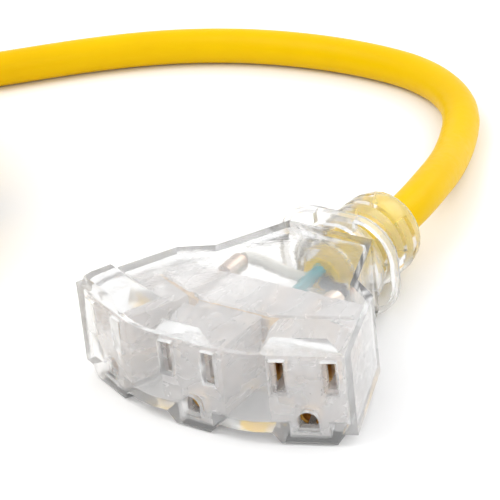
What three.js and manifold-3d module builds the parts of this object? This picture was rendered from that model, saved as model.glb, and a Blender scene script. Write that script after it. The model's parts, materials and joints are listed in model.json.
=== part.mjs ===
// A three-outlet extension cord: a clear fan-shaped connector with three grounded outlets,
// a round 12-gauge cord laid on the floor, the rest of its length wound in a coil, and its plug.
// Millimetres, +Z up. The connector's outlets look along -Y and its cord leaves along +Y.
import * as THREE from "three";
import { mergeVertices } from "three/addons/utils/BufferGeometryUtils.js";
import Module from "manifold-3d";

const wasm = await Module();
wasm.setup();

// ---------- driving dimensions ----------
const fit = 0.3; // gap left between touching pieces
const wall = 2; // moulded wall of the connector

// the connector's plan and height
const connectorLength = 90;
const facetAngle = THREE.MathUtils.degToRad(22.7); // turn of each side outlet
const midHalf = 15.2; // half width of the middle facet, to the virtual corner
const sideInner = 16.2; // side facet, corner to outlet centre
const sideOuter = 12.1; // side facet, outlet centre to outer edge
const cornerCut = 2.6;
const cheekDepth = 29.5; // outer wall, straight back from the side facet
const shoulderHalf = 21.7;
const shoulderY = 43.5;
const rearHalf = 12.8;
const rearY = 64;
const bodyHeight = 22.5;
const rearDrop = 2.2; // how far the top falls towards the cord
const topFlat = 16; // level part of the top, behind the outlets

// raised lugs over each outlet and feet under each outlet
const lugHeight = 4.7;
const lugDepth = 12;
const footHeight = 3.5;
const footDepth = 15;
const sideLug = { base: 9.7, top: 6.3 };
const midLug = { base: 8.4, top: 4.9 };
const sideFoot = { base: 9, top: 6.5 };
const midFoot = { base: 7.7, top: 4.7 };

// a grounded outlet: blades 12.7 apart, the ground 11.9 below them
const bladeSpacing = 12.7;
const groundDrop = 11.9;
const groundHeight = 3; // ground centre above the body's bottom
const windowWidth = 4;
const windowHeight = 9.4;
const slotWidth = 2.1;
const hotSlot = 7.4;
const neutralSlot = 8.8;
const groundHole = 5.4;
const groundArch = 0.1; // centre of the hole's round top above the pin's axis

// the insert that carries each outlet's contacts
const insertHalf = 9.4;
const insertDepth = 17.2;
const insertTop = 19.4;
const insertLip = 1.7;
const bossHalf = 4.7;
const bossDepth = 13;
const bossDrop = 1.6; // the boss round the ground hole reaches into the foot
const pocketHalf = 2.35;
const groundPocket = 3.7;

// contacts, bus bars and crimps
const contactThickness = 0.8;
const contactHeight = 7;
const contactLength = 12.5;
const groundContactLength = 10.2;
const groundContactBore = 2.45;
const contactFlare = 0.55; // how far the leaves open at the mouth
const contactLead = 2; // depth of that flare
const contactSlack = 0.1; // between a leaf and the blade
const sleeveOpening = 0.35; // half angle of the ground sleeve's split
const busThickness = 1;
const busHeight = 3.2;
const busGap = 1.2; // behind the inserts
const carrierDepth = 9;
const carrierEnd = 35.5;
const crimpLength = 7;
const crimpRadius = 2.5;
const crimpBase = 1.5; // solid end of a crimp barrel
const strandRadius = 1.35;
const bareStrand = 1.2; // copper seen between a crimp and its insulation
const wireRadius = 1.8;

// the cord and its strain relief
const cordRadius = 5.35;
const cordHeight = 12.5; // the cord's axis at the connector
const conductorBend = 0.36; // share of its length over which a conductor stays straight
const jacketStart = 58;
const reliefRadius = 11.6;
const reliefGroove = 6.9;
const reliefFlange = 7.9;
const reliefSlot = 1.5;
const reliefSlotY = [70.6, 75, 79.4, 83.8];

// the loop plate round the neck
const loopY = 65.2;
const loopThickness = 2.4;
const loopHalfWidth = 17.8;
const loopHalfHeight = 14;
const loopCorner = 11.4;
const loopBand = 1.2;
const loopWebHalf = 6;
const loopCollar = 1;

// the coil, its tie and the plug on it
const coilCentre = new THREE.Vector2(-192.7, -32.1);
const coilRadius = 62; // at the middle of its turns
const coilWidth = 42.8; // four turns side by side
const coilHeight = 47.8; // five layers, each in the grooves of the one below
const coilBase = 1.6;
const tieWidth = 16;
const tieThickness = 1.2;
const tieAngle = 40;
const plugAngle = 205; // where the plug lies round the coil
const plugOffset = 60; // its line, from the coil's centre
const plugAhead = 42; // its face, past the foot of that line
const plugRadius = 14.4;
const plugFlat = 12.6; // half height between its flat faces
const plugLength = 33;
const plugReliefLength = 16;
const plugWall = 2;
const jacketInPlug = 5; // how far the jacket reaches into the plug's shell
const plugReliefSlots = [3, 7, 11]; // from the plug's back
const plugReliefSlot = 1.2;
const bridgeDepth = 9;
const bladeLength = 17.9;
const bladeWidth = 6.35;
const bladeThickness = 1.52;
const bladeBevel = 1.6;
const pinLength = 21.4;
const pinRadius = 2.38;
const plugBladeZ = 5.4; // blades above the plug's axis

// ---------- derived places ----------
const bodyBottom = footHeight;
const bodyTop = bodyBottom + bodyHeight;
const bladeHeight = groundHeight + groundDrop;
const contactStart = wall + fit + insertLip + 2 * fit;
const half = bladeSpacing / 2;
const outlets = [
  { name: "left", side: -1, lug: sideLug, foot: sideFoot },
  { name: "middle", side: 0, lug: midLug, foot: midFoot },
  { name: "right", side: 1, lug: sideLug, foot: sideFoot },
];

// ---------- solids ----------
function solidOf(geometry) {
  const plain = geometry.clone();
  plain.deleteAttribute("normal");
  plain.deleteAttribute("uv");
  const merged = mergeVertices(plain, 1e-4);
  return new wasm.Manifold(
    new wasm.Mesh({
      numProp: 3,
      vertProperties: new Float32Array(merged.attributes.position.array),
      triVerts: new Uint32Array(merged.index.array),
    }),
  );
}

function geometryOf(solid) {
  const mesh = solid.getMesh();
  const geometry = new THREE.BufferGeometry();
  geometry.setAttribute("position", new THREE.BufferAttribute(mesh.vertProperties, 3));
  geometry.setIndex(new THREE.BufferAttribute(mesh.triVerts, 1));
  geometry.computeVertexNormals();
  return geometry;
}

function join(solids) {
  return solids.reduce((whole, next) => whole.add(next));
}

function cut(solid, tools) {
  return tools.reduce((rest, tool) => rest.subtract(tool), solid);
}

function shapeOf(points) {
  return new THREE.Shape(points.map(([x, y]) => new THREE.Vector2(x, y)));
}

// a flat outline in X and Y, raised from z0 to z1
function raised(shape, z0, z1, curveSegments = 10) {
  const geometry = new THREE.ExtrudeGeometry(shape, { depth: z1 - z0, bevelEnabled: false, curveSegments });
  return geometry.translate(0, 0, z0);
}

// an outline in X and Z, carried along Y from y0 to y1
function alongY(shape, y0, y1, curveSegments = 10) {
  return raised(shape, 0, y1 - y0, curveSegments).rotateX(Math.PI / 2).translate(0, y1, 0);
}

// an outline in Y and Z, carried along X from x0 to x1
function alongX(shape, x0, x1) {
  const turn = new THREE.Matrix4().makeBasis(
    new THREE.Vector3(0, 1, 0),
    new THREE.Vector3(0, 0, 1),
    new THREE.Vector3(1, 0, 0),
  );
  return raised(shape, 0, x1 - x0).applyMatrix4(turn).translate(x0, 0, 0);
}

function block(x0, x1, y0, y1, z0, z1) {
  const geometry = new THREE.BoxGeometry(x1 - x0, y1 - y0, z1 - z0);
  return geometry.translate((x0 + x1) / 2, (y0 + y1) / 2, (z0 + z1) / 2);
}

// a turned shape about the Y axis at height z, from its [radius, y] outline
function turned(points, z, segments = 32) {
  const outline = points.map(([r, y]) => new THREE.Vector2(r, y));
  return new THREE.LatheGeometry(outline, segments).translate(0, 0, z);
}

function rod(radius, y0, y1, x, z, segments = 20) {
  const geometry = new THREE.CylinderGeometry(radius, radius, y1 - y0, segments);
  return geometry.translate(x, (y0 + y1) / 2, z);
}

function roundTube(points, radius, sides, steps) {
  const path = new THREE.CatmullRomCurve3(points);
  const section = new THREE.Shape();
  section.absarc(0, 0, radius, 0, 2 * Math.PI);
  const options = { extrudePath: path, steps, bevelEnabled: false, curveSegments: sides / 2 };
  return new THREE.ExtrudeGeometry(section, options);
}

const finishes = {
  clear: { color: 0xeceef0, roughness: 0.2, metalness: 0 },
  insert: { color: 0xe4e5e8, roughness: 0.35, metalness: 0 },
  jacket: { color: 0xfccc00, roughness: 0.4, metalness: 0 },
  brass: { color: 0xc79a45, roughness: 0.35, metalness: 1 },
  copper: { color: 0xc8764a, roughness: 0.4, metalness: 1 },
  tinned: { color: 0xc9b9a6, roughness: 0.35, metalness: 1 },
  green: { color: 0x33a9ac, roughness: 0.45, metalness: 0 },
  white: { color: 0xe9e8e2, roughness: 0.45, metalness: 0 },
  black: { color: 0x34333c, roughness: 0.45, metalness: 0 },
  strap: { color: 0x26272a, roughness: 0.8, metalness: 0 },
};

function node(name, geometry, finish) {
  const mesh = new THREE.Mesh(geometry, new THREE.MeshStandardMaterial(finishes[finish]));
  mesh.name = name;
  return mesh;
}

// ---------- the connector's outline ----------
const cosA = Math.cos(facetAngle);
const sinA = Math.sin(facetAngle);
const sideWidth = sideInner + sideOuter;

// a point of an outlet's own frame (u across, v inwards) in the connector's plan
function facetPoint(side, u, v) {
  const along = sideInner + side * u;
  if (side === 0) return [u, v];
  return [side * (midHalf + along * cosA - v * sinA), along * sinA + v * cosA];
}

function outletMatrix(side) {
  const [x, y] = facetPoint(side, 0, 0);
  return new THREE.Matrix4().makeRotationZ(side * facetAngle).setPosition(x, y, bodyBottom);
}

const facetEnd = [midHalf + sideWidth * cosA, sideWidth * sinA];
const cheekEnd = [facetEnd[0] - cheekDepth * sinA, facetEnd[1] + cheekDepth * cosA];
const rightPlan = [
  [midHalf - cornerCut, 0],
  [midHalf + cornerCut * cosA, cornerCut * sinA],
  facetEnd,
  cheekEnd,
  [shoulderHalf, shoulderY],
  [rearHalf, rearY],
];
const plan = [...rightPlan, ...rightPlan.map(([x, y]) => [-x, y]).reverse()];

// the same outline moved inwards by a distance, edge by edge
function inset(points, distance) {
  const lines = points.map(([x, y], i) => {
    const [nx, ny] = points[(i + 1) % points.length];
    const length = Math.hypot(nx - x, ny - y);
    const normal = [-(ny - y) / length, (nx - x) / length];
    return { normal, offset: normal[0] * x + normal[1] * y + distance };
  });
  return lines.map((line, i) => {
    const before = lines[(i + lines.length - 1) % lines.length];
    const det = before.normal[0] * line.normal[1] - before.normal[1] * line.normal[0];
    return [
      (before.offset * line.normal[1] - line.offset * before.normal[1]) / det,
      (before.normal[0] * line.offset - line.normal[0] * before.offset) / det,
    ];
  });
}

function fanBlock(outline, bottom, top) {
  const profile = shapeOf([
    [-5, bottom],
    [rearY + 5, bottom],
    [rearY + 5, top - rearDrop],
    [topFlat, top],
    [-5, top],
  ]);
  const sides = solidOf(alongX(profile, -2 * sideWidth - midHalf, 2 * sideWidth + midHalf));
  return solidOf(raised(shapeOf(outline), 0, 2 * bodyTop)).intersect(sides);
}

// a lug or a foot: a trapezoid across the outlet, sloping back to the body
function pad(size, depth, height, up) {
  const root = up ? bodyHeight : 0;
  const way = up ? 1 : -1;
  const front = shapeOf([
    [-size.base, root - way * 0.5 * wall],
    [size.base, root - way * 0.5 * wall],
    [size.base, root],
    [size.top, root + way * height],
    [-size.top, root + way * height],
    [-size.base, root],
  ]);
  const side = shapeOf([
    [0, root - way * wall],
    [depth, root - way * wall],
    [depth, root],
    [0.62 * depth, root + way * height],
    [0.15 * depth, root + way * height],
    [0, root + way * 0.85 * height],
  ]);
  return solidOf(alongY(front, 0, depth)).intersect(solidOf(alongX(side, -size.base, size.base)));
}

function groundOutline(width) {
  const shape = new THREE.Shape();
  const r = width / 2;
  shape.moveTo(-r, -r);
  shape.lineTo(r, -r);
  shape.lineTo(r, groundArch);
  shape.absarc(0, groundArch, r, 0, Math.PI);
  return shape;
}

function placed(solid, side) {
  const geometry = geometryOf(solid).applyMatrix4(outletMatrix(side));
  return solidOf(geometry);
}

function outerShell() {
  const outside = fanBlock(plan, bodyBottom, bodyTop);
  const inside = fanBlock(inset(plan, wall), bodyBottom + wall, bodyTop - wall);
  const pads = outlets.flatMap(({ side, lug, foot }) => [
    placed(pad(lug, lugDepth, lugHeight, true), side),
    placed(pad(foot, footDepth, footHeight, false), side),
  ]);
  const bossPit = block(
    -bossHalf - fit,
    bossHalf + fit,
    wall,
    wall + bossDepth + 2 * fit,
    -bossDrop - fit,
    wall + 1,
  );
  const bosses = outlets.map(({ side }) => placed(solidOf(bossPit), side));
  const holes = outlets.map(({ side }) => placed(faceHoles(-1, wall + 1), side));
  const bore = solidOf(rod(reliefGroove + fit, rearY - 2 * wall, rearY + wall, 0, cordHeight, 32));
  const bay = solidOf(rod(reliefFlange + fit, jacketStart - wall, rearY - wall, 0, cordHeight, 32));
  return cut(join([outside, ...pads]), [inside, ...bosses, ...holes, bore, bay]);
}

// the two windows over the blades and the ground hole, from y0 to y1
function faceHoles(y0, y1) {
  const windows = [-half, half].map((u) =>
    solidOf(
      block(
        u - windowWidth / 2,
        u + windowWidth / 2,
        y0,
        y1,
        bladeHeight - windowHeight / 2,
        bladeHeight + windowHeight / 2,
      ),
    ),
  );
  const ground = solidOf(alongY(groundOutline(groundHole), y0, y1).translate(0, 0, groundHeight));
  return join([...windows, ground]);
}

function insertBlock() {
  const front = wall + fit;
  const back = front + insertDepth;
  const main = solidOf(block(-insertHalf, insertHalf, front, back, wall + fit, insertTop));
  const boss = solidOf(block(-bossHalf, bossHalf, front, front + bossDepth, -bossDrop, wall + 2 * fit));
  const slots = [
    [-half, neutralSlot],
    [half, hotSlot],
  ].flatMap(([u, height]) => [
    solidOf(
      block(
        u - slotWidth / 2,
        u + slotWidth / 2,
        0,
        back,
        bladeHeight - height / 2,
        bladeHeight + height / 2,
      ),
    ),
    solidOf(
      block(
        u - pocketHalf,
        u + pocketHalf,
        front + insertLip,
        back + 1,
        bladeHeight - contactHeight / 2 - 2 * fit,
        bladeHeight + contactHeight / 2 + 2 * fit,
      ),
    ),
  ]);
  const mouth = alongY(groundOutline(groundHole), 0, front + insertLip + 1);
  const groundMouth = solidOf(mouth.translate(0, 0, groundHeight));
  const groundBay = solidOf(rod(groundPocket, front + insertLip, back + 1, 0, groundHeight, 24));
  return cut(join([main, boss]), [...slots, groundMouth, groundBay]);
}

// two sprung leaves joined at the back, to grip a flat blade
function bladeContact(u) {
  const start = contactStart;
  const end = start + contactLength;
  const inner = bladeThickness / 2 + contactSlack;
  const outer = inner + contactThickness;
  const flare = contactFlare;
  const grip = start + contactLead;
  const leaves = shapeOf([
    [-outer - flare, start],
    [-inner - flare, start],
    [-inner, grip],
    [-inner, end - contactThickness],
    [inner, end - contactThickness],
    [inner, grip],
    [inner + flare, start],
    [outer + flare, start],
    [outer, grip],
    [outer, end],
    [-outer, end],
    [-outer, grip],
  ]);
  const bottom = bladeHeight - contactHeight / 2;
  return raised(leaves, bottom, bottom + contactHeight).translate(u, 0, 0);
}

// a split sleeve that grips the round ground pin
function groundContact() {
  const outer = groundContactBore + contactThickness;
  const opening = sleeveOpening;
  const sleeve = new THREE.Shape();
  const bottom = -Math.PI / 2;
  sleeve.absarc(0, 0, outer, bottom + opening, bottom - opening + 2 * Math.PI);
  sleeve.absarc(0, 0, groundContactBore, bottom - opening + 2 * Math.PI, bottom + opening, true);
  return alongY(sleeve, contactStart, contactStart + groundContactLength, 9).translate(0, 0, groundHeight);
}

// ---------- bus bars ----------
const busFront = wall + fit + insertDepth + busGap;
const busMid = busFront + busThickness / 2;
const cornerTan = Math.tan(facetAngle / 2);

// a strip behind the inserts with a tab to each outlet's contact and one back to the crimp
function busBar({ u: contactU, bottom, x: crimpX, reach: length }) {
  const z0 = bodyBottom + bottom;
  const z1 = z0 + busHeight;
  const strips = outlets.map(({ side }) => {
    if (side === 0) {
      const end = midHalf - busMid * cornerTan + fit;
      return solidOf(block(-end, end, busFront, busFront + busThickness, z0, z1));
    }
    const corner = -side * (sideInner - busMid * cornerTan + fit);
    const far = contactU + (side * busThickness) / 2;
    const [u0, u1] = [Math.min(corner, far), Math.max(corner, far)];
    const strip = block(u0, u1, busFront, busFront + busThickness, bottom, bottom + busHeight);
    return placed(solidOf(strip), side);
  });
  const tabs = outlets.map(({ side }) => {
    const tab = block(
      contactU - busThickness / 2,
      contactU + busThickness / 2,
      contactStart + length + fit,
      busMid,
      bottom,
      bottom + busHeight,
    );
    return placed(solidOf(tab), side);
  });
  const past = Math.max(0, Math.abs(crimpX) - (midHalf - busMid * cornerTan));
  const rearStart = busMid + past * Math.tan(facetAngle);
  const rear = solidOf(
    block(crimpX - busThickness / 2, crimpX + busThickness / 2, rearStart, crimpY - fit, z0, z1),
  );
  return join([...strips, ...tabs, rear]);
}

const crimpY = carrierEnd + 2;
// u and bottom place a bus bar in an outlet's frame, x its crimp, and at its conductor in the cord
const feeds = [
  { name: "neutral", u: -half, bottom: 14.8, x: -15, reach: contactLength, at: [-2.3, -1.2], finish: "white" },
  { name: "ground", u: 0, bottom: 3.4, x: -3, reach: groundContactLength, at: [0.3, 2.4], finish: "green" },
  { name: "hot", u: half, bottom: 10.9, x: 14, reach: contactLength, at: [2.2, -0.8], finish: "black" },
];

function busCarrier() {
  const front = busFront + busThickness + fit;
  const middle = midHalf - front * cornerTan;
  const [endX, endY] = facetPoint(1, sideOuter - wall - 2.2, front);
  const back = cheekEnd[1] - 2;
  const right = [
    [middle, front],
    [endX, endY],
    [endX - 1.2, Math.min(back, endY + carrierDepth)],
    [shoulderHalf - 3, carrierEnd],
  ];
  const outline = [...right, ...right.map(([x, y]) => [-x, y]).reverse()];
  const body = solidOf(raised(shapeOf(outline), bodyBottom + wall + fit, bodyBottom + insertTop - 0.6));
  const slot = busThickness / 2 + fit;
  const slots = feeds.map(({ x, bottom }) => {
    const z = bodyBottom + bottom;
    return solidOf(block(x - slot, x + slot, front - 1, carrierEnd + 1, z - fit, z + busHeight + fit));
  });
  return cut(body, slots);
}

function crimpBarrel(feed) {
  const z = bodyBottom + feed.bottom + busHeight / 2;
  const bore = strandRadius + fit;
  const outline = [
    [0, crimpY],
    [crimpRadius, crimpY],
    [crimpRadius, crimpY + crimpLength],
    [bore, crimpY + crimpLength],
    [bore, crimpY + crimpBase],
    [0, crimpY + crimpBase],
  ];
  return turned(outline, z, 16).translate(feed.x, 0, 0);
}

function strands(feed) {
  const z = bodyBottom + feed.bottom + busHeight / 2;
  return rod(strandRadius, crimpY + crimpBase + fit, crimpY + crimpLength + bareStrand, feed.x, z, 12);
}

function conductor(feed) {
  const z = bodyBottom + feed.bottom + busHeight / 2;
  const start = new THREE.Vector3(feed.at[0], jacketStart - 2 * fit, cordHeight + feed.at[1]);
  const end = new THREE.Vector3(feed.x, crimpY + crimpLength + bareStrand + 2 * fit, z);
  const reach = conductorBend * (start.y - end.y);
  const path = new THREE.CubicBezierCurve3(
    start,
    new THREE.Vector3(start.x, start.y - reach, start.z),
    new THREE.Vector3(end.x, end.y + reach, end.z),
    end,
  );
  return roundTube(path.getPoints(10), wireRadius, 10, 14);
}

// ---------- strain relief and loop ----------
function reliefBody() {
  const bore = cordRadius + fit;
  const r = reliefRadius;
  const outline = [
    [bore, jacketStart + 0.5],
    [reliefFlange, jacketStart + 0.5],
    [reliefFlange, rearY - wall - fit],
    [reliefGroove, rearY - wall - fit],
    [reliefGroove, rearY + fit],
    [r - 0.7, rearY + fit],
    [r - 0.4, rearY + 8],
    [r, rearY + 14],
    [r, connectorLength - 5],
    [r - 0.8, connectorLength - 1.6],
    [r - 2.2, connectorLength],
    [bore, connectorLength],
    [bore, jacketStart + 0.5],
  ];
  const sleeve = solidOf(turned(outline, cordHeight, 28));
  const slots = reliefSlotY.flatMap((y, i) =>
    [0, 1].map((n) => {
      const middle = Math.PI * (0.36 + n) + (i % 2) * Math.PI * 0.5;
      const spread = Math.PI * 0.36;
      const sector = new THREE.Shape();
      sector.absarc(0, 0, r + 2, middle - spread, middle + spread);
      sector.absarc(0, 0, bore + 1.4, middle + spread, middle - spread, true);
      return solidOf(alongY(sector, y, y + reliefSlot, 5).translate(0, 0, cordHeight));
    }),
  );
  return cut(sleeve, slots);
}

function roundedOutline(a, b, r) {
  const shape = new THREE.Shape();
  shape.moveTo(a, r - b);
  shape.lineTo(a, b - r);
  shape.absarc(a - r, b - r, r, 0, Math.PI / 2);
  shape.absarc(r - a, b - r, r, Math.PI / 2, Math.PI);
  shape.absarc(r - a, r - b, r, Math.PI, 1.5 * Math.PI);
  shape.absarc(a - r, r - b, r, 1.5 * Math.PI, 2 * Math.PI);
  return shape;
}

function neckLoop() {
  const y0 = loopY;
  const y1 = loopY + loopThickness;
  const centre = loopHalfHeight;
  const r = reliefRadius + fit;
  const outside = solidOf(
    alongY(roundedOutline(loopHalfWidth, loopHalfHeight, loopCorner), y0, y1, 8).translate(0, 0, centre),
  );
  const [a, b] = [loopHalfWidth - loopBand, loopHalfHeight - loopBand];
  const gap = solidOf(
    alongY(roundedOutline(a, b, loopCorner - loopBand), y0 - 1, y1 + 1, 8).translate(0, 0, centre),
  );
  const web = solidOf(block(-loopWebHalf, loopWebHalf, y0 - 2, y1 + 2, -1, 2 * centre + 1));
  const collar = solidOf(rod(r + loopCollar, y0 - 2, y1 + 2, 0, cordHeight, 32));
  const openings = cut(gap, [web, collar]);
  const hole = solidOf(rod(r, y0 - 1, y1 + 1, 0, cordHeight, 32));
  return cut(outside, [openings, hole]);
}

// ---------- the cord ----------
const cordRoute = [
  [0, 45.3, 12.5], [-0.1, 53, 12.5], [-1.4, 62, 12.2], [-3.8, 71.5, 11.2], [-6.8, 81, 9.6],
  [-10.2, 90, 7.8], [-14, 99, 6.3], [-18.2, 108.5, 5.5], [-23.6, 119, 5.4], [-31, 128.5, 5.4],
  [-41.5, 136.5, 5.4], [-54, 141.6, 5.4], [-67.5, 143.6, 5.4], [-82, 143.6, 5.4], [-96, 142, 5.4],
  [-109.5, 139, 5.4], [-121.5, 134.8, 5.4], [-133, 129.3, 5.4], [-143.5, 122.6, 5.4],
  [-153.5, 114.8, 5.4], [-163, 106.2, 5.4], [-172, 97.4, 5.4], [-188, 81.7, 5.4],
  [-200, 69.9, 5.4], [-213, 57.2, 5.4],
];
// the end of the cord, off the coil's top turn and up into the plug
const tailRoute = [
  [-235.6, 21.8, 55.1], [-244.8, 11.4, 55.1], [-251.6, -1.5, 55.2], [-255.3, -14.1, 56.6],
  [-256, -27, 59.5], [-254, -39.3, 61.9], [-250.2, -50.2, 62.3],
];

function pathOf(points) {
  return points.map(([x, y, z]) => new THREE.Vector3(x, y, z));
}

const coilInner = coilRadius - coilWidth / 2;

function coilRing() {
  const inner = coilInner;
  const outer = coilRadius + coilWidth / 2;
  const top = coilHeight;
  const bevel = 4;
  const outline = [
    [inner, bevel],
    [inner + bevel, 0],
    [outer - bevel, 0],
    [outer, bevel],
    [outer, top - 1.6 * bevel],
    [outer - 3 * bevel, top],
    [inner + 3 * bevel, top],
    [inner, top - 1.6 * bevel],
    [inner, bevel],
  ].map(([r, z]) => new THREE.Vector2(r, z));
  const ring = new THREE.LatheGeometry(outline, 48).rotateX(Math.PI / 2);
  return ring.translate(coilCentre.x, coilCentre.y, coilBase);
}

// a strap round the coil's section
function coilTie() {
  const inner = coilInner - tieWidth ** 2 / (4 * coilInner) - fit; // clear of the ring's curve
  const outer = coilRadius + coilWidth / 2 + fit;
  const t = tieThickness;
  const top = coilBase + coilHeight + fit;
  const bottom = coilBase - fit;
  const w = tieWidth / 2;
  const outside = solidOf(block(inner - t, outer + t, -w, w, bottom - t, top + t));
  const inside = solidOf(block(inner, outer, -w - 1, w + 1, bottom, top));
  return cut(outside, [inside]);
}

// ---------- the plug, in its own frame: face at y = 0, cord along +Y ----------
const plugEnd = plugLength + plugReliefLength;
const bladeEnd = bridgeDepth + 2; // the blades' and pin's inner ends
const plugJacket = plugLength - jacketInPlug;

const plugOutline = [
  [plugRadius, 12],
  [plugRadius - 1.2, 16],
  [plugRadius - 3.2, 25],
  [plugRadius - 4.4, plugLength - 1.6],
  [plugRadius - 5.8, plugLength],
];

// the plug's outer shape, drawn in by a distance, from y0
function plugForm(y0, inwards) {
  const sides = plugOutline.map(([r, y]) => [r - inwards, y - inwards]);
  const outline = [[0, y0], [plugRadius - inwards, y0], ...sides, [0, plugLength - inwards]];
  const flat = plugFlat - inwards;
  const flats = solidOf(block(-plugRadius, plugRadius, y0 - 1, plugLength + 1, -flat, flat));
  return solidOf(turned(outline, 0, 28)).intersect(flats);
}

function plugBody() {
  const bore = solidOf(rod(cordRadius + fit, plugLength - 2 * plugWall, plugLength + 1, 0, 0, 24));
  return cut(plugForm(0, 0), [plugForm(-1, plugWall), bore]);
}

function plugBridge() {
  const r = plugRadius - plugWall - fit;
  const flat = plugFlat - plugWall - fit;
  const body = solidOf(rod(r, fit, bridgeDepth - 1, 0, 0, 32)).intersect(
    solidOf(block(-r, r, 0, bridgeDepth, -flat, flat)),
  );
  const slots = [-half, half].map((u) =>
    solidOf(
      block(
        u - bladeThickness / 2 - fit,
        u + bladeThickness / 2 + fit,
        -1,
        bridgeDepth + 1,
        plugBladeZ - bladeWidth / 2 - fit,
        plugBladeZ + bladeWidth / 2 + fit,
      ),
    ),
  );
  const pin = solidOf(rod(pinRadius + fit, -1, bridgeDepth + 1, 0, plugBladeZ - groundDrop, 20));
  return cut(body, [...slots, pin]);
}

// a flat blade with a bevelled tip, through the bridge
function plugBlade(u) {
  const width = bladeWidth;
  const outline = shapeOf([
    [-bladeLength + bladeBevel, -width / 2],
    [bladeEnd, -width / 2],
    [bladeEnd, width / 2],
    [-bladeLength + bladeBevel, width / 2],
    [-bladeLength, width / 2 - bladeBevel],
    [-bladeLength, -width / 2 + bladeBevel],
  ]);
  return alongX(outline, u - bladeThickness / 2, u + bladeThickness / 2).translate(0, 0, plugBladeZ);
}

function plugPin() {
  const outline = [
    [0, -pinLength],
    [0.9, -pinLength + 0.2],
    [1.8, -pinLength + 1],
    [pinRadius, -pinLength + 2.4],
    [pinRadius, bladeEnd],
    [0, bladeEnd],
  ];
  return turned(outline, plugBladeZ - groundDrop, 20);
}

function plugRelief() {
  const bore = cordRadius + fit;
  const y0 = plugLength + fit;
  const outline = [
    [bore, y0],
    [8.1, y0],
    [7.7, y0 + 8],
    [7.2, plugEnd - 1],
    [6.6, plugEnd],
    [bore, plugEnd],
    [bore, y0],
  ];
  const sleeve = solidOf(turned(outline, 0, 24));
  const slots = plugReliefSlots.flatMap((y, i) =>
    [0, 1].map((n) => {
      const middle = Math.PI * n + (i % 2) * Math.PI * 0.5;
      const spread = Math.PI * 0.34;
      const sector = new THREE.Shape();
      sector.absarc(0, 0, 10, middle - spread, middle + spread);
      sector.absarc(0, 0, bore + 0.9, middle + spread, middle - spread, true);
      return solidOf(alongY(sector, y0 + y, y0 + y + plugReliefSlot, 5));
    }),
  );
  return cut(sleeve, slots);
}

const plugWires = [
  { name: "neutral", x: -half, z: plugBladeZ, finish: "white", at: [-2.1, 1.2] },
  { name: "hot", x: half, z: plugBladeZ, finish: "black", at: [2.1, 1.2] },
  { name: "ground", x: 0, z: plugBladeZ - groundDrop, finish: "green", at: [0, -2.4] },
];

// ---------- assembly ----------
const model = new THREE.Group();
const connector = new THREE.Group();
connector.position.y = -connectorLength / 2;
model.add(connector);
connector.add(node("outer_shell", geometryOf(outerShell()), "clear"));
connector.add(node("strain_relief", geometryOf(reliefBody()), "clear"));
connector.add(node("neck_loop", geometryOf(neckLoop()), "clear"));
connector.add(node("bus_carrier", geometryOf(busCarrier()), "insert"));

for (const { name, side } of outlets) {
  const outlet = new THREE.Group();
  outlet.applyMatrix4(outletMatrix(side));
  outlet.add(node(`insert_${name}`, geometryOf(insertBlock()), "insert"));
  outlet.add(node(`neutral_contact_${name}`, bladeContact(-half), "brass"));
  outlet.add(node(`hot_contact_${name}`, bladeContact(half), "brass"));
  outlet.add(node(`ground_contact_${name}`, groundContact(), "brass"));
  connector.add(outlet);
}

for (const feed of feeds) {
  connector.add(node(`${feed.name}_bus`, geometryOf(busBar(feed)), "brass"));
  connector.add(node(`${feed.name}_crimp`, crimpBarrel(feed), "tinned"));
  connector.add(node(`${feed.name}_strands`, strands(feed), "copper"));
  connector.add(node(`${feed.name}_wire`, conductor(feed), feed.finish));
}
connector.add(
  node("jacket_end", rod(cordRadius, jacketStart, connectorLength, 0, cordHeight, 24), "jacket"),
);

model.add(node("cord_run", roundTube(pathOf(cordRoute), cordRadius, 10, 56), "jacket"));
model.add(node("cord_coil", coilRing(), "jacket"));
model.add(node("cord_tail", roundTube(pathOf(tailRoute), cordRadius, 10, 12), "jacket"));

const tie = new THREE.Group();
tie.position.set(coilCentre.x, coilCentre.y, 0);
tie.rotation.z = THREE.MathUtils.degToRad(tieAngle);
tie.add(node("coil_tie", geometryOf(coilTie()), "strap"));
model.add(tie);

const plug = new THREE.Group();
const turn = THREE.MathUtils.degToRad(plugAngle);
plug.position.set(
  coilCentre.x + plugOffset * Math.cos(turn) - plugAhead * Math.sin(turn),
  coilCentre.y + plugOffset * Math.sin(turn) + plugAhead * Math.cos(turn),
  coilBase + coilHeight + fit + plugFlat,
);
plug.rotation.z = turn + Math.PI;
plug.add(node("plug_body", geometryOf(plugBody()), "clear"));
plug.add(node("plug_bridge", geometryOf(plugBridge()), "insert"));
plug.add(node("plug_relief", geometryOf(plugRelief()), "clear"));
plug.add(node("plug_neutral_blade", plugBlade(-half), "brass"));
plug.add(node("plug_hot_blade", plugBlade(half), "brass"));
plug.add(node("plug_ground_pin", plugPin(), "brass"));
for (const wire of plugWires) {
  const start = new THREE.Vector3(wire.x, bladeEnd + 2 * fit, wire.z);
  const end = new THREE.Vector3(wire.at[0], plugJacket - 2 * fit, wire.at[1]);
  const reach = conductorBend * (end.y - start.y);
  const path = new THREE.CubicBezierCurve3(
    start,
    new THREE.Vector3(start.x, start.y + reach, start.z),
    new THREE.Vector3(end.x, end.y - reach, end.z),
    end,
  );
  plug.add(node(`plug_${wire.name}_wire`, roundTube(path.getPoints(8), wireRadius, 8, 10), wire.finish));
}
plug.add(node("plug_jacket_end", rod(cordRadius, plugJacket, plugEnd, 0, 0, 20), "jacket"));
model.add(plug);

export default model;
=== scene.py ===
import bpy
import bmesh
import json
import math
from mathutils import Vector, Matrix


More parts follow.
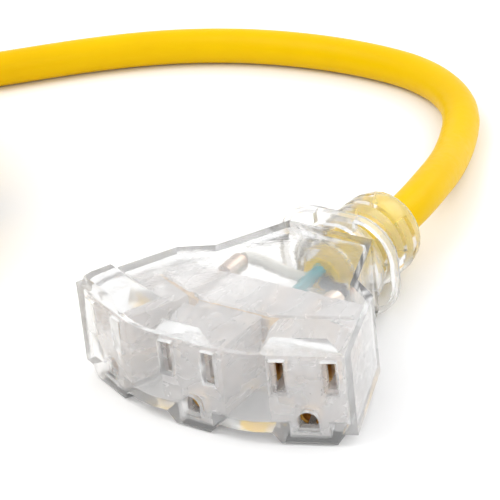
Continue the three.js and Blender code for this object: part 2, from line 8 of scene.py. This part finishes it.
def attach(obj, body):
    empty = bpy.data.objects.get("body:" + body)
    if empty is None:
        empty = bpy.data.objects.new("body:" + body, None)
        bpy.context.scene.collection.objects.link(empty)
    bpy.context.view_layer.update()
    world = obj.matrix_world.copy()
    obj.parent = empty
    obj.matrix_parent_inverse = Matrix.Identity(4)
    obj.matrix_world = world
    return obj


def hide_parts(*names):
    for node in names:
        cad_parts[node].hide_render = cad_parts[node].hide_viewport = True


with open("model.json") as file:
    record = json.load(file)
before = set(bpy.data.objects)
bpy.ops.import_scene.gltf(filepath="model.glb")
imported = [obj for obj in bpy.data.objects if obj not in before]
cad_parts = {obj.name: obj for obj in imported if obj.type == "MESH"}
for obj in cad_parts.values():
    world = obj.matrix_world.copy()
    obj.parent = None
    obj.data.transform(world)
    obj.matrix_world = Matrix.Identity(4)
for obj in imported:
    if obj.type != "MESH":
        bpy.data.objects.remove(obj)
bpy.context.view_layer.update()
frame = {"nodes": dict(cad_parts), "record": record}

# An extension cord: a clear fan-shaped connector with three grounded outlets, its yellow cord,
# the rest of that cord in a tied coil, and the plug. Metres, +Z up, as in the frame.
mm = 0.001
print("frame loaded:", len(frame["nodes"]), "nodes")


def toLinear(code):
    # sRGB hex to linear RGBA
    parts = [int(code[i:i + 2], 16) / 255 for i in (1, 3, 5)]
    return tuple(c / 12.92 if c <= 0.04045 else ((c + 0.055) / 1.055) ** 2.4 for c in parts) + (1,)


def addNode(tree, kind, inputs=None, **settings):
    # one node, its settings, and each input either a plain value or a socket to link from
    node = tree.nodes.new(kind)
    for name, value in settings.items():
        setattr(node, name, value)
    for name, value in (inputs or {}).items():
        if isinstance(value, bpy.types.NodeSocket):
            tree.links.new(value, node.inputs[name])
        else:
            node.inputs[name].default_value = value
    return node


def newMaterial(name):
    material = bpy.data.materials.new(name)
    material.use_nodes = True
    material.node_tree.nodes.clear()
    return material, material.node_tree


def setRamp(ramp, stops):
    # colour stops of a colour ramp: (position, hex)
    elements = ramp.color_ramp.elements
    while len(elements) < len(stops):
        elements.new(0.5)
    for element, (position, code) in zip(elements, stops):
        element.position = position
        element.color = toLinear(code)


def finishSurface(tree, shader):
    addNode(tree, "ShaderNodeOutputMaterial", {"Surface": shader.outputs[0]})


def newObject(name, bm, material, smoothAngle=30):
    mesh = bpy.data.meshes.new(name)
    bm.to_mesh(mesh)
    bm.free()
    for polygon in mesh.polygons:
        polygon.use_smooth = True
    mesh.set_sharp_from_angle(angle=math.radians(smoothAngle))
    obj = bpy.data.objects.new(name, mesh)
    bpy.context.scene.collection.objects.link(obj)
    mesh.materials.append(material)
    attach(obj, "root")
    return obj


def mergedCopy(node):
    # a frame node's own shape, with its loose triangles joined and its flat faces made whole
    bm = bmesh.new()
    bm.from_mesh(frame["nodes"][node].data)
    bmesh.ops.remove_doubles(bm, verts=bm.verts, dist=0.01 * mm)
    bmesh.ops.dissolve_limit(
        bm, angle_limit=math.radians(1), verts=bm.verts, edges=bm.edges, delimit=set()
    )
    return bm


def softenEdges(bm, width, segments, sharp=28):
    # rounds the edges that turn by more than the given angle
    limit = math.radians(sharp)
    edges = [e for e in bm.edges if len(e.link_faces) == 2 and e.calc_face_angle(0) > limit]
    bmesh.ops.bevel(
        bm, geom=edges, offset=width, offset_type="OFFSET", segments=segments, profile=0.5,
        affect="EDGES", material=-1, clamp_overlap=True, loop_slide=True,
    )


hazeEnds = (-14 * mm, 0)  # along the connector, where the haze starts to thin and where it is thinnest


def clearPvc(name, ior, milk, dull, rearMilk):
    # moulded soft PVC: clear with a faint milky cast that thins behind the outlets, satin, slightly wavy
    material, tree = newMaterial(name)
    place = addNode(tree, "ShaderNodeTexCoord")
    satin = addNode(
        tree, "ShaderNodeTexNoise", {"Vector": place.outputs["Object"], "Scale": 1100, "Detail": 3}
    )
    wave = addNode(tree, "ShaderNodeTexNoise", {"Vector": place.outputs["Object"], "Scale": 260, "Detail": 4})
    both = addNode(
        tree, "ShaderNodeMix", {"Factor": 0.7, "A": satin.outputs["Fac"], "B": wave.outputs["Fac"]},
        data_type="FLOAT",
    )
    bump = addNode(
        tree, "ShaderNodeBump", {"Strength": 0.5, "Distance": 0.2 * mm, "Height": both.outputs["Result"]}
    )
    rough = addNode(
        tree, "ShaderNodeMapRange",
        {"Value": wave.outputs["Fac"], "From Min": 0.3, "From Max": 0.7, "To Min": dull, "To Max": 2 * dull},
    )
    along = addNode(tree, "ShaderNodeSeparateXYZ", {"Vector": place.outputs["Object"]})
    clarity = addNode(
        tree, "ShaderNodeMapRange",
        {
            "Value": along.outputs["Y"], "From Min": hazeEnds[0], "From Max": hazeEnds[1],
            "To Min": 1 - milk, "To Max": 1 - rearMilk,
        },
    )
    shader = addNode(
        tree, "ShaderNodeBsdfPrincipled",
        {
            "Base Color": toLinear("#ffffff"), "Roughness": rough.outputs["Result"],
            "IOR": ior, "Transmission Weight": clarity.outputs["Result"], "Normal": bump.outputs["Normal"],
        },
    )
    finishSurface(tree, shader)
    return material


def frostedInsert():
    # moulded polycarbonate with a matt tool finish: milky white, streaked where the melt flowed
    material, tree = newMaterial("frostedInsert")
    place = addNode(tree, "ShaderNodeTexCoord")
    grain = addNode(
        tree, "ShaderNodeTexNoise", {"Vector": place.outputs["Object"], "Scale": 1400, "Detail": 4}
    )
    stretch = addNode(
        tree, "ShaderNodeMapping", {"Vector": place.outputs["Object"], "Scale": (1, 0.45, 1.6)}
    )
    flow = addNode(
        tree, "ShaderNodeTexNoise",
        {"Vector": stretch.outputs["Vector"], "Scale": 170, "Detail": 4, "Distortion": 0.5},
    )
    tint = addNode(tree, "ShaderNodeValToRGB", {"Fac": flow.outputs["Fac"]})
    setRamp(tint, [(0.3, "#f6efed"), (0.5, "#fffdfc"), (0.72, "#fbf5f3")])
    rough = addNode(
        tree, "ShaderNodeMapRange",
        {"Value": flow.outputs["Fac"], "From Min": 0.35, "From Max": 0.65, "To Min": 0.12, "To Max": 0.4},
    )
    height = addNode(
        tree, "ShaderNodeMix", {"Factor": 0.75, "A": grain.outputs["Fac"], "B": flow.outputs["Fac"]},
        data_type="FLOAT",
    )
    bump = addNode(
        tree, "ShaderNodeBump", {"Strength": 0.5, "Distance": 0.35 * mm, "Height": height.outputs["Result"]}
    )
    shader = addNode(
        tree, "ShaderNodeBsdfPrincipled",
        {
            "Base Color": tint.outputs["Color"], "Roughness": rough.outputs["Result"], "IOR": 1.12,
            "Transmission Weight": 0.66, "Normal": bump.outputs["Normal"],
        },
    )
    finishSurface(tree, shader)
    return material


def yellowJacket(name, light, dark):
    # extruded PVC jacket: saturated yellow, satin, with the fine drag lines and dips of extrusion
    material, tree = newMaterial(name)
    place = addNode(tree, "ShaderNodeTexCoord")
    tone = addNode(tree, "ShaderNodeTexNoise", {"Vector": place.outputs["Object"], "Scale": 35, "Detail": 3})
    colour = addNode(tree, "ShaderNodeValToRGB", {"Fac": tone.outputs["Fac"]})
    setRamp(colour, [(0.3, dark), (0.7, light)])
    skin = addNode(tree, "ShaderNodeTexNoise", {"Vector": place.outputs["Object"], "Scale": 420, "Detail": 5})
    bump = addNode(
        tree, "ShaderNodeBump", {"Strength": 0.35, "Distance": 0.12 * mm, "Height": skin.outputs["Fac"]}
    )
    rough = addNode(
        tree, "ShaderNodeMapRange",
        {"Value": skin.outputs["Fac"], "From Min": 0.3, "From Max": 0.7, "To Min": 0.3, "To Max": 0.44},
    )
    shader = addNode(
        tree, "ShaderNodeBsdfPrincipled",
        {
            "Base Color": colour.outputs["Color"], "Roughness": rough.outputs["Result"], "IOR": 1.16,
            "Subsurface Weight": 0.12, "Subsurface Radius": (0.004, 0.002, 0.0005),
            "Normal": bump.outputs["Normal"],
        },
    )
    finishSurface(tree, shader)
    return material


def stampedMetal(name, light, dark, roughness, scale):
    # rolled and stamped strip: bright, with drawn scratches along the strip and dull patches
    material, tree = newMaterial(name)
    place = addNode(tree, "ShaderNodeTexCoord")
    stretch = addNode(tree, "ShaderNodeMapping", {"Vector": place.outputs["Object"], "Scale": (1, 0.12, 1)})
    scratch = addNode(
        tree, "ShaderNodeTexNoise", {"Vector": stretch.outputs["Vector"], "Scale": scale, "Detail": 4}
    )
    patch = addNode(
        tree, "ShaderNodeTexNoise", {"Vector": place.outputs["Object"], "Scale": 160, "Detail": 2}
    )
    colour = addNode(tree, "ShaderNodeValToRGB", {"Fac": patch.outputs["Fac"]})
    setRamp(colour, [(0.35, dark), (0.65, light)])
    rough = addNode(
        tree, "ShaderNodeMapRange",
        {
            "Value": patch.outputs["Fac"], "From Min": 0.3, "From Max": 0.7,
            "To Min": roughness, "To Max": roughness + 0.15,
        },
    )
    bump = addNode(
        tree, "ShaderNodeBump", {"Strength": 0.3, "Distance": 0.05 * mm, "Height": scratch.outputs["Fac"]}
    )
    shader = addNode(
        tree, "ShaderNodeBsdfPrincipled",
        {
            "Base Color": colour.outputs["Color"], "Metallic": 1.0, "Roughness": rough.outputs["Result"],
            "Normal": bump.outputs["Normal"],
        },
    )
    finishSurface(tree, shader)
    return material


def wireInsulation(name, light, dark):
    # PVC conductor insulation: dyed through, satin, faintly uneven
    material, tree = newMaterial(name)
    place = addNode(tree, "ShaderNodeTexCoord")
    tone = addNode(tree, "ShaderNodeTexNoise", {"Vector": place.outputs["Object"], "Scale": 250, "Detail": 4})
    colour = addNode(tree, "ShaderNodeValToRGB", {"Fac": tone.outputs["Fac"]})
    setRamp(colour, [(0.3, dark), (0.7, light)])
    bump = addNode(
        tree, "ShaderNodeBump", {"Strength": 0.2, "Distance": 0.08 * mm, "Height": tone.outputs["Fac"]}
    )
    shader = addNode(
        tree, "ShaderNodeBsdfPrincipled",
        {
            "Base Color": colour.outputs["Color"], "Roughness": 0.38, "IOR": 1.5,
            "Normal": bump.outputs["Normal"],
        },
    )
    finishSurface(tree, shader)
    return material


strapWeave = {
    "rib": 1.2 * mm,  # pitch along the strap, drawn coarse enough to see
    "cross": 0.9 * mm,
    "perScale": 6.2,  # bands that the wave texture draws at a scale of one
}


def wovenStrap(weaveOf):
    # hook-and-loop nylon tape: near-black, matt and ribbed
    material, tree = newMaterial("wovenStrap")
    place = addNode(tree, "ShaderNodeUVMap", uv_map="weave")
    rib = addNode(
        tree, "ShaderNodeTexWave",
        {
            "Vector": place.outputs["UV"], "Scale": 1 / weaveOf["rib"] / weaveOf["perScale"],
            "Distortion": 0.6,
        },
        wave_type="BANDS", bands_direction="X",
    )
    cross = addNode(
        tree, "ShaderNodeTexWave",
        {
            "Vector": place.outputs["UV"], "Scale": 1 / weaveOf["cross"] / weaveOf["perScale"],
            "Distortion": 0.4,
        },
        wave_type="BANDS", bands_direction="Y",
    )
    weave = addNode(
        tree, "ShaderNodeMix", {"Factor": 0.5, "A": rib.outputs["Fac"], "B": cross.outputs["Fac"]},
        data_type="FLOAT",
    )
    colour = addNode(tree, "ShaderNodeValToRGB", {"Fac": weave.outputs["Result"]})
    setRamp(colour, [(0.2, "#17181b"), (0.8, "#3a3b40")])
    bump = addNode(
        tree, "ShaderNodeBump", {"Strength": 0.8, "Distance": 0.3 * mm, "Height": weave.outputs["Result"]}
    )
    shader = addNode(
        tree, "ShaderNodeBsdfPrincipled",
        {
            "Base Color": colour.outputs["Color"], "Roughness": 0.82, "Sheen Weight": 0.35,
            "Normal": bump.outputs["Normal"],
        },
    )
    finishSurface(tree, shader)
    return material


finishes = {
    "clear": clearPvc("clearPvc", ior=1.2, milk=0.19, dull=0.03, rearMilk=0.04),
    "relief": clearPvc("reliefPvc", ior=1.34, milk=0.12, dull=0.06, rearMilk=0.12),
    "loop": clearPvc("loopPvc", ior=1.2, milk=0.2, dull=0.08, rearMilk=0.2),
    "insert": frostedInsert(),
    "jacket": yellowJacket("yellowJacket", "#e1b900", "#dab000"),
    # painted light: a brighter copy of the jacket yellow, lightened to make up for the shade under the clear
    # sleeve
    "bonded": yellowJacket("bondedJacket", "#ffdc3a", "#fad22c"),
    "brass": stampedMetal("stampedBrass", "#e0b768", "#b98a3d", 0.22, 2600),
    "copper": stampedMetal("strandedCopper", "#d98e63", "#a85a38", 0.3, 5000),
    "tinned": stampedMetal("tinnedCrimp", "#d9cbbb", "#b08f78", 0.25, 2600),
    "green": wireInsulation("greenInsulation", "#009aa2", "#008189"),
    "white": wireInsulation("whiteInsulation", "#efeee8", "#dedcd2"),
    "black": wireInsulation("blackInsulation", "#2a2934", "#191821"),
    "strap": wovenStrap(strapWeave),
}
slotOf = {part["node"]: part["material_slot"] for part in frame["record"]["subparts"]}
print("materials ready:", len(finishes))


# camera, floor and light
cameraView = {
    "eye": (0.38568, -0.50431, 0.36445),
    "aim": (-0.02339, 0.01464, 0.015),
    "roll": -6.55,
    "lens": 206.7,
}


def makeCamera(view):
    data = bpy.data.cameras.new("camera")
    data.lens = view["lens"]
    data.clip_start = 0.01
    obj = bpy.data.objects.new("camera", data)
    bpy.context.scene.collection.objects.link(obj)
    eye = Vector(view["eye"])
    turn = (Vector(view["aim"]) - eye).to_track_quat("-Z", "Y").to_matrix().to_4x4()
    obj.matrix_world = Matrix.Translation(eye) @ turn @ Matrix.Rotation(math.radians(view["roll"]), 4, "Z")
    bpy.context.scene.camera = obj


studio = {
    "floorSize": 6.0,
    "floorColour": "#f4f4f4",
    "worldColour": "#ffffff",
    "worldStrength": 1.0,
    "floorRoughness": 0.9,
    "lampAim": (-0.05, 0, 0),
    # name, place, size across, watts
    "lamps": [
        ("key", (-0.5, -0.35, 0.95), 0.7, 4.2),
        ("fill", (0.9, -0.5, 0.7), 0.8, 2.5),
        ("back", (0.2, 0.9, 0.7), 0.7, 3.5),
    ],
}


def makeStudio(setup):
    bm = bmesh.new()
    bmesh.ops.create_grid(bm, x_segments=1, y_segments=1, size=setup["floorSize"] / 2)
    mesh = bpy.data.meshes.new("floor")
    bm.to_mesh(mesh)
    bm.free()
    floor = bpy.data.objects.new("floor", mesh)
    bpy.context.scene.collection.objects.link(floor)
    material, tree = newMaterial("paperFloor")
    shader = addNode(
        tree, "ShaderNodeBsdfPrincipled", {
            "Base Color": toLinear(setup["floorColour"]), "Roughness": setup["floorRoughness"],
        },
    )
    finishSurface(tree, shader)
    mesh.materials.append(material)
    world = bpy.data.worlds.new("studio")
    world.use_nodes = True
    background = world.node_tree.nodes["Background"]
    background.inputs["Color"].default_value = toLinear(setup["worldColour"])
    background.inputs["Strength"].default_value = setup["worldStrength"]
    bpy.context.scene.world = world
    for name, place, size, watts in setup["lamps"]:
        light = bpy.data.lights.new(name, "AREA")
        light.size = size
        light.energy = watts
        lamp = bpy.data.objects.new(name, light)
        bpy.context.scene.collection.objects.link(lamp)
        turn = (Vector(setup["lampAim"]) - Vector(place)).to_track_quat("-Z", "Y").to_matrix().to_4x4()
        lamp.matrix_world = Matrix.Translation(Vector(place)) @ turn
    bpy.context.scene.view_settings.view_transform = "Standard"


makeCamera(cameraView)
makeStudio(studio)
print("camera and studio ready")


# the cord, on one line from the connector through its coil to the plug
cordShape = {
    "diameter": 10.7 * mm,
    "length": 7.493,  # between the connector and the plug
    "exit": (0, 0.045, 0.0125),
    "roundness": 8,
    "spacing": 3 * mm,  # between the points of its free stretches
    "landing": 2 * mm,  # kept clear of the point where it reaches the coil
    # from the connector along the floor to the coil
    "route": [
        (0, 0.045, 0.0125), (0, 0.0453, 0.0125), (-0.0001, 0.053, 0.0125), (-0.0014, 0.062, 0.0122),
        (-0.0038, 0.0715, 0.0112), (-0.0068, 0.081, 0.0096), (-0.0102, 0.09, 0.0078),
        (-0.014, 0.099, 0.0063), (-0.0182, 0.1085, 0.0055), (-0.0236, 0.119, 0.0054),
        (-0.031, 0.1285, 0.0054), (-0.0415, 0.1365, 0.0054), (-0.054, 0.1416, 0.0054),
        (-0.0675, 0.1436, 0.0054), (-0.082, 0.1436, 0.0054), (-0.096, 0.142, 0.0054),
        (-0.1095, 0.139, 0.0054), (-0.1215, 0.1348, 0.0054), (-0.133, 0.1293, 0.0054),
        (-0.1435, 0.1226, 0.0054), (-0.1535, 0.1148, 0.0054), (-0.163, 0.1062, 0.0054),
        (-0.172, 0.0974, 0.0054), (-0.188, 0.0817, 0.0054), (-0.2, 0.0699, 0.0054),
        (-0.213, 0.0572, 0.0054),
    ],
    # off the coil's top turn and up into the plug
    "tail": [
        (-0.2356, 0.0218, 0.0551), (-0.2448, 0.0114, 0.0551), (-0.2516, -0.0015, 0.0552),
        (-0.2553, -0.0141, 0.0566), (-0.256, -0.027, 0.0595), (-0.254, -0.0393, 0.0619),
        (-0.2502, -0.0502, 0.0623),
    ],
}
coilShape = {
    "centre": (-0.1927, -0.0321),
    "radius": 62 * mm,
    "layers": [4, 3, 4, 3, 4],  # turns in each layer, laid in the grooves of the one below
    "start": 134.4,  # degrees round the coil where the cord joins it and where each turn steps over
    "stepArc": 50,  # degrees that a step to the next turn takes
    "lastArc": 95,  # and the last one, up and across to the top
    "lastRadius": 68 * mm,
    "pointsPerTurn": 72,
    "rest": 6.95 * mm,  # centre of the lowest turns over the strap
    "tilt": 1.4 * mm,  # how much lower they lie opposite the strap
    "strapAngle": 40,
    "climb": 1.7,  # up before across, to clear the turn beside it
    "rise": math.sqrt(0.75),  # of a layer lying in the grooves below, in diameters
}


def smoothStep(x):
    x = min(1, max(0, x))
    return x * x * (3 - 2 * x)


def splinePoints(knots, spacing):
    # a smooth curve through the knots, in even steps
    knots = [Vector(k) for k in knots]
    ends = [2 * knots[0] - knots[1]] + knots + [2 * knots[-1] - knots[-2]]
    found = []
    for a, b, c, d in zip(ends, ends[1:], ends[2:], ends[3:]):
        steps = max(1, round((c - b).length / spacing))
        for i in range(steps):
            t = i / steps
            found.append(0.5 * (
                2 * b + (c - a) * t + (2 * a - 5 * b + 4 * c - d) * t * t
                + (3 * b - a - 3 * c + d) * t ** 3
            ))
    return found + [knots[-1]]


def coilTurns(coil, diameter):
    # (radius, height) of each turn's centre, in the order that they are wound
    turns = []
    for layer, count in enumerate(coil["layers"]):
        row = [
            (coil["radius"] + ((count - 1) / 2 - i) * diameter, layer * diameter * coil["rise"])
            for i in range(count)
        ]
        turns += row if layer % 2 == 0 else row[::-1]
    return turns


def coilLift(coil, angle):
    # the coil leans a little, on the strap at one side and on the floor at the other
    away = math.cos(angle - math.radians(coil["strapAngle"]))
    return coil["rest"] - coil["tilt"] * (1 - away) / 2


def coilPoints(coil, diameter, topHeight):
    turns = coilTurns(coil, diameter)
    turns.append((coil["lastRadius"], topHeight - coilLift(coil, math.radians(coil["start"]))))
    points = []
    for turn in range(len(turns) - 1):
        here, after = turns[turn], turns[turn + 1]
        last = turn == len(turns) - 2
        step = math.radians(coil["lastArc" if last else "stepArc"])
        for i in range(coil["pointsPerTurn"]):
            around = 2 * math.pi * i / coil["pointsPerTurn"]
            done = (around - 2 * math.pi + step) / step
            share = smoothStep(done)
            climb = smoothStep(done * coil["climb"])
            radius = here[0] + (after[0] - here[0]) * share
            height = here[1] + (after[1] - here[1]) * climb
            angle = math.radians(coil["start"]) + around
            points.append(Vector((
                coil["centre"][0] + radius * math.cos(angle),
                coil["centre"][1] + radius * math.sin(angle),
                coilLift(coil, angle) + height,
            )))
    return points


def makeCord(cord, coil):
    wound = coilPoints(coil, cord["diameter"], cord["tail"][0][2])
    lead = splinePoints(cord["route"] + [tuple(p) for p in wound[:3]], cord["spacing"])[:-1]
    # the run comes down to the floor and then up on to the coil's first turn
    lead = [p for p in lead if (p - wound[0]).length > cord["landing"] or p.y > wound[0].y]
    tail = splinePoints([tuple(p) for p in wound[-3:]] + cord["tail"], cord["spacing"])
    points = lead + wound[:-3] + tail
    curve = bpy.data.curves.new("cord", "CURVE")
    curve.dimensions = "3D"
    curve.bevel_depth = cord["diameter"] / 2
    curve.bevel_resolution = cord["roundness"]
    curve.use_fill_caps = True
    spline = curve.splines.new("POLY")
    spline.points.add(len(points) - 1)
    for spot, p in zip(spline.points, points):
        spot.co = (p.x, p.y, p.z, 1)
    spline.use_smooth = True
    obj = bpy.data.objects.new("cord", curve)
    bpy.context.scene.collection.objects.link(obj)
    curve.materials.append(finishes["jacket"])
    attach(obj, "root")
    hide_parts("cord_run", "cord_coil", "cord_tail")
    print("cord: %.3f m" % sum((b - a).length for a, b in zip(points, points[1:])))
    return obj


cord = makeCord(cordShape, coilShape)


# the strap round the coil
strapShape = {
    "width": 16 * mm,
    "thickness": 1.2 * mm,
    "clearance": 0.15 * mm,
    "cornerSteps": 8,
    "lap": 1.1 * mm,  # the free end lies this far over the strap
    "lapSteps": 12,
    "lapStart": 0.6,  # and begins to lift at this share of it
    "strips": 4,  # across its width
}


def strapPath(strap, coil, diameter):
    # round the turns' section: an arc at each corner turn and a straight run between them
    base, top = coil["layers"][0], coil["layers"][-1]
    height = (len(coil["layers"]) - 1) * diameter * coil["rise"]
    reach = diameter / 2 + strap["clearance"] + strap["thickness"] / 2
    corners = [
        Vector((coil["radius"] + (base - 1) / 2 * diameter, coil["rest"])),
        Vector((coil["radius"] + (top - 1) / 2 * diameter, coil["rest"] + height)),
        Vector((coil["radius"] - (top - 1) / 2 * diameter, coil["rest"] + height)),
        Vector((coil["radius"] - (base - 1) / 2 * diameter, coil["rest"])),
    ]
    path = []
    for i, corner in enumerate(corners):
        before = (corner - corners[i - 1]).normalized()
        after = (corners[(i + 1) % 4] - corner).normalized()
        start = math.atan2(-before.x, before.y)
        sweep = (math.atan2(-after.x, after.y) - start) % (2 * math.pi)
        for k in range(strap["cornerSteps"] + 1):
            angle = start + sweep * k / strap["cornerSteps"]
            path.append(corner + reach * Vector((math.cos(angle), math.sin(angle))))
    return path


def makeStrap(strap, coil, diameter):
    path = strapPath(strap, coil, diameter)
    # a free end laps over the top, a little proud of the strap under it
    middle = sum(path, Vector((0, 0))) / len(path)
    start = 2 * strap["cornerSteps"] - 2
    wrap = path[start:] + path[:start]
    for i in range(strap["lapSteps"]):
        spot = wrap[i]
        wrap.append(spot + (spot - middle).normalized() * strap["lap"] * (1 if i else strap["lapStart"]))
    bm = bmesh.new()
    uv = bm.loops.layers.uv.new("weave")
    angle = math.radians(coil["strapAngle"])
    outward = Vector((math.cos(angle), math.sin(angle), 0))
    across = Vector((-math.sin(angle), math.cos(angle), 0))
    centre = Vector((*coil["centre"], 0))
    strips = strap["strips"]
    rows = []
    for spot in wrap:
        here = centre + outward * spot.x + Vector((0, 0, spot.y))
        rows.append([
            bm.verts.new(here + across * strap["width"] * (k / strips - 0.5)) for k in range(strips + 1)
        ])
    run = 0
    for a, b in zip(rows, rows[1:]):
        step = (b[0].co - a[0].co).length
        for k in range(strips):
            face = bm.faces.new((a[k], b[k], b[k + 1], a[k + 1]))
            corners = [(run, k), (run + step, k), (run + step, k + 1), (run, k + 1)]
            for loop, (along, side) in zip(face.loops, corners):
                loop[uv].uv = (along, side * strap["width"] / strips)
        run += step
    bmesh.ops.recalc_face_normals(bm, faces=bm.faces)
    bmesh.ops.solidify(bm, geom=bm.faces[:], thickness=strap["thickness"])
    bmesh.ops.recalc_face_normals(bm, faces=bm.faces)
    obj = newObject("coilStrap", bm, finishes["strap"], 50)
    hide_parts("coil_tie")
    return obj


coilStrap = makeStrap(strapShape, coilShape, cordShape["diameter"])
print("strap ready")


# mouldings with rounded edges, each in place of its plain node; edge in mm
mouldings = {
    "outer_shell": {"name": "outerShell", "edge": 0.5, "segments": 2},
    "strain_relief": {
        "name": "strainRelief", "edge": 0.25, "segments": 2, "finish": "relief",
        # moulded on to the jacket, so no air lies between them: radius, reach and axis in mm
        "bore": 5.2, "boreReach": 1.1, "boreAxis": (0, 12.5),
    },
    "neck_loop": {"name": "neckLoop", "edge": 0.4, "segments": 3, "finish": "loop"},
    "plug_body": {"name": "plugBody", "edge": 0.4, "segments": 3},
    "plug_relief": {"name": "plugRelief", "edge": 0.2, "segments": 2, "finish": "relief"},
    "plug_bridge": {"name": "plugBridge", "edge": 0.15, "segments": 2},
    "insert_left": {"name": "insertLeft", "edge": 0.2, "segments": 2},
    "insert_middle": {"name": "insertMiddle", "edge": 0.2, "segments": 2},
    "insert_right": {"name": "insertRight", "edge": 0.2, "segments": 2},
    "bus_carrier": {"name": "busCarrier", "edge": 0.8, "segments": 3},
}


# turned and drawn pieces, which only need their round surfaces smoothed
for node in slotOf:
    kind = node.split("_")[-1]
    if kind in ("wire", "strands", "crimp", "pin") or "jacket" in node or "ground_contact" in node:
        words = node.split("_")
        mouldings[node] = {"name": words[0] + "".join(w.title() for w in words[1:])}
        if "jacket" in node:
            # painted light: the jacket ends under the sleeve take the lightened copy of the yellow
            mouldings[node]["finish"] = "bonded"


def closeBore(bm, radius, reach, x, z):
    # draws a bore's wall in to the given radius
    for vert in bm.verts:
        away = Vector((vert.co.x - x, 0, vert.co.z - z))
        if radius < away.length < radius + reach:
            vert.co -= away * (1 - radius / away.length)


def makeMoulding(node, look):
    bm = mergedCopy(node)
    if "edge" in look:
        softenEdges(bm, look["edge"] * mm, look["segments"])
    if "bore" in look:
        x, z = (value * mm for value in look["boreAxis"])
        closeBore(bm, look["bore"] * mm, look["boreReach"] * mm, x, z)
    slot = slotOf[node]
    obj = newObject(look["name"], bm, finishes[look.get("finish", slot)])
    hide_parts(node)
    return obj


made = {node: makeMoulding(node, look) for node, look in mouldings.items()}
print("mouldings ready:", len(made))

# the frame's own pieces keep their shape and take their finish
for node, obj in frame["nodes"].items():
    obj.data.materials.clear()
    obj.data.materials.append(finishes[slotOf[node]])

plugPieces = [obj for node, obj in made.items() if node.startswith("plug_")]
plugPieces += [obj for node, obj in frame["nodes"].items() if node.startswith("plug_") and node not in made]
